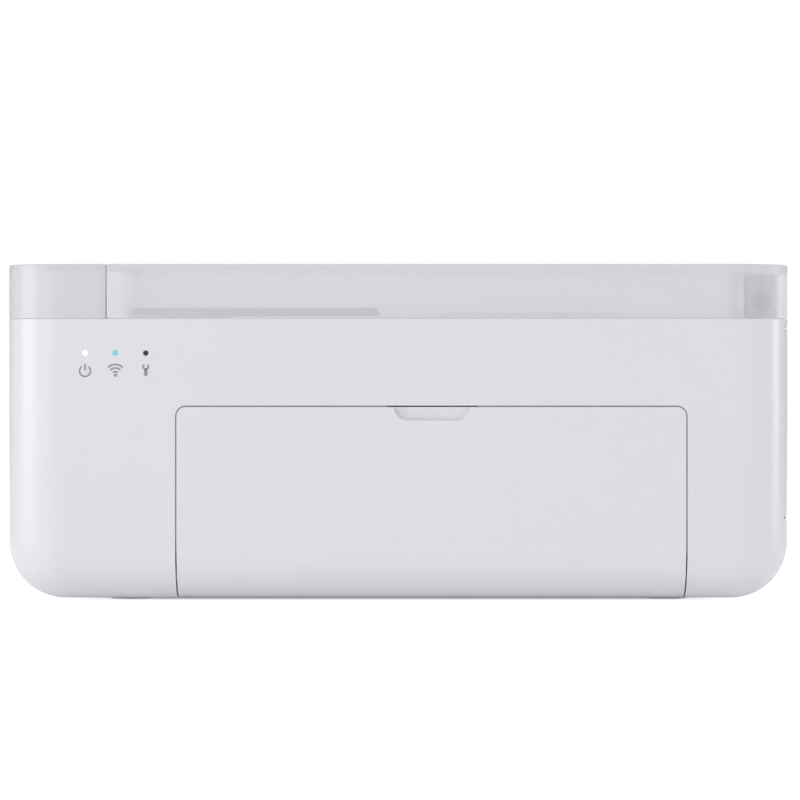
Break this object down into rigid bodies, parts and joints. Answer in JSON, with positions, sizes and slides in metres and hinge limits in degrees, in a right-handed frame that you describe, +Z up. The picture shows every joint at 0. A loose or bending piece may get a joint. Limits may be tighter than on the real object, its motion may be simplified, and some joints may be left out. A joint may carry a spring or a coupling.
{
  "type": "compact photo printer",
  "caption": "Low white photo printer with round corners, a frosted storage lid on top, a drop-down front door, a side ribbon door and indicator lights.",
  "frame": {"origin": "centre of the footprint, at the bottom of the feet", "axes": "+X to the right seen from the front, +Y to the rear, +Z up"},
  "size_m": [0.1944, 0.124, 0.084],
  "materials": {
    "white_shell": "satin white moulding",
    "frosted_plastic": "frosted translucent",
    "white_inner": "satin white",
    "rubber_feet": "matt",
    "black_plastic": "matt",
    "steel": "bright zinc",
    "magnet": "nickel",
    "brass_parts": "plain",
    "gear_plastic": "natural acetal",
    "roller_rubber": "fine ground",
    "head_aluminium": "extruded",
    "ribbon_case": "satin grey",
    "ribbon": "smooth film",
    "paper": "smooth paper",
    "circuit_board": "solder mask",
    "light_white": "light pipe",
    "light_blue": "light pipe"
  },
  "bodies": {
    "base": {"housing": "white_shell", "base_plate": "white_shell", "feet": "rubber_feet", "storage_tray": "white_inner", "left_cap": "frosted_plastic", "hinge_rail": "frosted_plastic", "lid_hinge_pins": "steel", "catch_magnet": "magnet", "front_door_pins": "steel", "ribbon_door_rod": "steel", "button_board": "circuit_board", "power_light": "light_white", "network_light": "light_blue", "service_light": "black_plastic", "light_board": "circuit_board", "chassis_left": "steel", "chassis_right": "steel", "tie_bars": "steel", "gear_bracket": "steel", "drive_motor": "steel", "cam_motor": "steel", "head_guides": "black_plastic", "pickup_shaft": "steel", "paper_guides": "black_plastic", "fan_frame": "black_plastic", "main_board": "circuit_board", "dc_inlet": "black_plastic", "usb_port": "steel", "bearings": "brass_parts", "screws": "steel"},
    "lid": {"storage_lid": "frosted_plastic"},
    "front_door": {"front_door": "white_shell"},
    "ribbon_door": {"ribbon_door": "white_shell"},
    "power_button": {"power_button": "white_inner"},
    "motor_pinion": {"motor_pinion": "brass_parts"},
    "reduction_gear": {"reduction_gear": "gear_plastic"},
    "exit_idler": {"exit_idler": "gear_plastic"},
    "capstan_idler": {"capstan_idler": "gear_plastic"},
    "platen": {"platen": "roller_rubber"},
    "capstan": {"capstan": "steel"},
    "exit_roller": {"exit_roller": "roller_rubber"},
    "capstan_pinch": {"capstan_pinch": "roller_rubber"},
    "exit_pinch": {"exit_pinch": "roller_rubber"},
    "take_up_drive": {"take_up_drive": "gear_plastic"},
    "camshaft": {"camshaft": "steel"},
    "cam_pinion": {"cam_pinion": "brass_parts"},
    "head": {"head_carrier": "head_aluminium", "print_head": "head_aluminium"},
    "pickup_arm": {"pickup_arm": "black_plastic"},
    "pickup_roller": {"pickup_roller": "roller_rubber"},
    "cartridge": {"cartridge_case": "ribbon_case", "ribbon_film": "ribbon"},
    "supply_spool": {"supply_spool": "ribbon"},
    "take_up_spool": {"take_up_spool": "ribbon"},
    "cassette": {"cassette_base": "white_inner", "cassette_cover": "white_inner", "lift_plate": "steel", "lift_springs": "steel", "paper_stack": "paper"},
    "fan_rotor": {"fan_rotor": "black_plastic"}
  },
  "joints": [
    {"name": "lid_hinge", "type": "hinge", "parent": "base", "child": "lid", "pos_m": [0, 0.059, 0.0737], "axis": [-1, 0, 0], "range_deg": [0, 95]},
    {"name": "front_door_hinge", "type": "hinge", "parent": "base", "child": "front_door", "pos_m": [0.00815, -0.056, 0.0068], "axis": [1, 0, 0], "range_deg": [0, 90]},
    {"name": "ribbon_door_hinge", "type": "hinge", "parent": "base", "child": "ribbon_door", "pos_m": [0.09525, -0.0135, 0.019], "axis": [0, 1, 0], "range_deg": [0, 90]},
    {"name": "power_press", "type": "slide", "parent": "base", "child": "power_button", "axis": [0, 0, -1], "range_m": [0, 0.0006], "stiffness_N_per_m": 600},
    {"name": "platen_turn", "type": "hinge", "parent": "base", "child": "platen", "pos_m": [0.00815, -0.004, 0.0302], "axis": [1, 0, 0], "continuous": true},
    {"name": "motor_turn", "type": "hinge", "parent": "base", "child": "motor_pinion", "pos_m": [0.00815, -0.04077, 0.04102], "axis": [1, 0, 0], "continuous": true},
    {"name": "reduction_turn", "type": "hinge", "parent": "base", "child": "reduction_gear", "pos_m": [0.00815, -0.02606, 0.02631], "axis": [1, 0, 0], "continuous": true},
    {"name": "exit_idler_turn", "type": "hinge", "parent": "base", "child": "exit_idler", "pos_m": [0.00815, -0.02606, 0.02631], "axis": [1, 0, 0], "continuous": true},
    {"name": "capstan_idler_turn", "type": "hinge", "parent": "base", "child": "capstan_idler", "pos_m": [0.00815, 0.02154, 0.02845], "axis": [1, 0, 0], "continuous": true},
    {"name": "capstan_turn", "type": "hinge", "parent": "base", "child": "capstan", "pos_m": [0.00815, 0.042, 0.0322], "axis": [1, 0, 0], "continuous": true},
    {"name": "exit_turn", "type": "hinge", "parent": "base", "child": "exit_roller", "pos_m": [0.00815, -0.04063, 0.03292], "axis": [1, 0, 0], "continuous": true},
    {"name": "capstan_pinch_turn", "type": "hinge", "parent": "base", "child": "capstan_pinch", "pos_m": [0.00815, 0.042, 0.04015], "axis": [1, 0, 0], "continuous": true},
    {"name": "exit_pinch_turn", "type": "hinge", "parent": "base", "child": "exit_pinch", "pos_m": [0.00815, -0.04063, 0.03967], "axis": [1, 0, 0], "continuous": true},
    {"name": "take_up_drive_turn", "type": "hinge", "parent": "base", "child": "take_up_drive", "pos_m": [0.00815, 0.01699, 0.0475], "axis": [1, 0, 0], "continuous": true},
    {"name": "head_down", "type": "slide", "parent": "base", "child": "head", "axis": [0, 0, -1], "range_m": [0, 0.003]},
    {"name": "cam_turn", "type": "hinge", "parent": "base", "child": "camshaft", "pos_m": [0.00815, -0.004, 0.0552], "axis": [1, 0, 0], "range_deg": [-150.1, 0]},
    {"name": "cam_pinion_turn", "type": "hinge", "parent": "base", "child": "cam_pinion", "pos_m": [0.00815, -0.0144, 0.0552], "axis": [1, 0, 0], "range_deg": [0, 176]},
    {"name": "pickup_swing", "type": "hinge", "parent": "base", "child": "pickup_arm", "pos_m": [0.00815, 0.034, 0.0275], "axis": [1, 0, 0], "range_deg": [0, 12], "stiffness_Nm_per_rad": 0.05},
    {"name": "pickup_turn", "type": "hinge", "parent": "pickup_arm", "child": "pickup_roller", "pos_m": [0.00815, 0.018, 0.0263], "axis": [1, 0, 0], "continuous": true},
    {"name": "cartridge_slide", "type": "slide", "parent": "base", "child": "cartridge", "axis": [1, 0, 0], "range_m": [0, 0.03142]},
    {"name": "supply_turn", "type": "hinge", "parent": "cartridge", "child": "supply_spool", "pos_m": [0.00815, -0.02499, 0.0475], "axis": [1, 0, 0], "continuous": true},
    {"name": "take_up_turn", "type": "hinge", "parent": "cartridge", "child": "take_up_spool", "pos_m": [0.00815, 0.01699, 0.0475], "axis": [1, 0, 0], "continuous": true},
    {"name": "cassette_lift", "type": "slide", "parent": "base", "child": "cassette", "axis": [0, 0, 1], "range_m": [0, 0.0142]},
    {"name": "fan_turn", "type": "hinge", "parent": "base", "child": "fan_rotor", "pos_m": [-0.07045, 0.0558, 0.0363], "axis": [0, 1, 0], "continuous": true}
  ],
  "couplings": [
    {"joint": "motor_turn", "follows": "platen_turn", "ratio": 8.3333},
    {"joint": "reduction_turn", "follows": "platen_turn", "ratio": -2.5},
    {"joint": "exit_idler_turn", "follows": "platen_turn", "ratio": -1.8},
    {"joint": "capstan_idler_turn", "follows": "platen_turn", "ratio": -1.2857},
    {"joint": "capstan_turn", "follows": "platen_turn", "ratio": 1.5},
    {"joint": "exit_turn", "follows": "platen_turn", "ratio": 1.8},
    {"joint": "capstan_pinch_turn", "follows": "platen_turn", "ratio": -1.6667},
    {"joint": "exit_pinch_turn", "follows": "platen_turn", "ratio": -2.04},
    {"joint": "take_up_drive_turn", "follows": "platen_turn", "ratio": -1.4286},
    {"joint": "take_up_turn", "follows": "platen_turn", "ratio": -1.4286},
    {"joint": "supply_turn", "follows": "platen_turn", "ratio": -0.93985},
    {"joint": "pickup_turn", "follows": "platen_turn", "ratio": -1.2},
    {"joint": "cam_turn", "follows": "head_down", "rad_per_m": -872.66},
    {"joint": "cam_pinion_turn", "follows": "head_down", "rad_per_m": 1018.1},
    {"joint": "cartridge_slide", "follows": "ribbon_door_hinge", "m_per_rad": 0.02},
    {"joint": "cassette_lift", "follows": "lid_hinge", "m_per_rad": 0.0085}
  ]
}
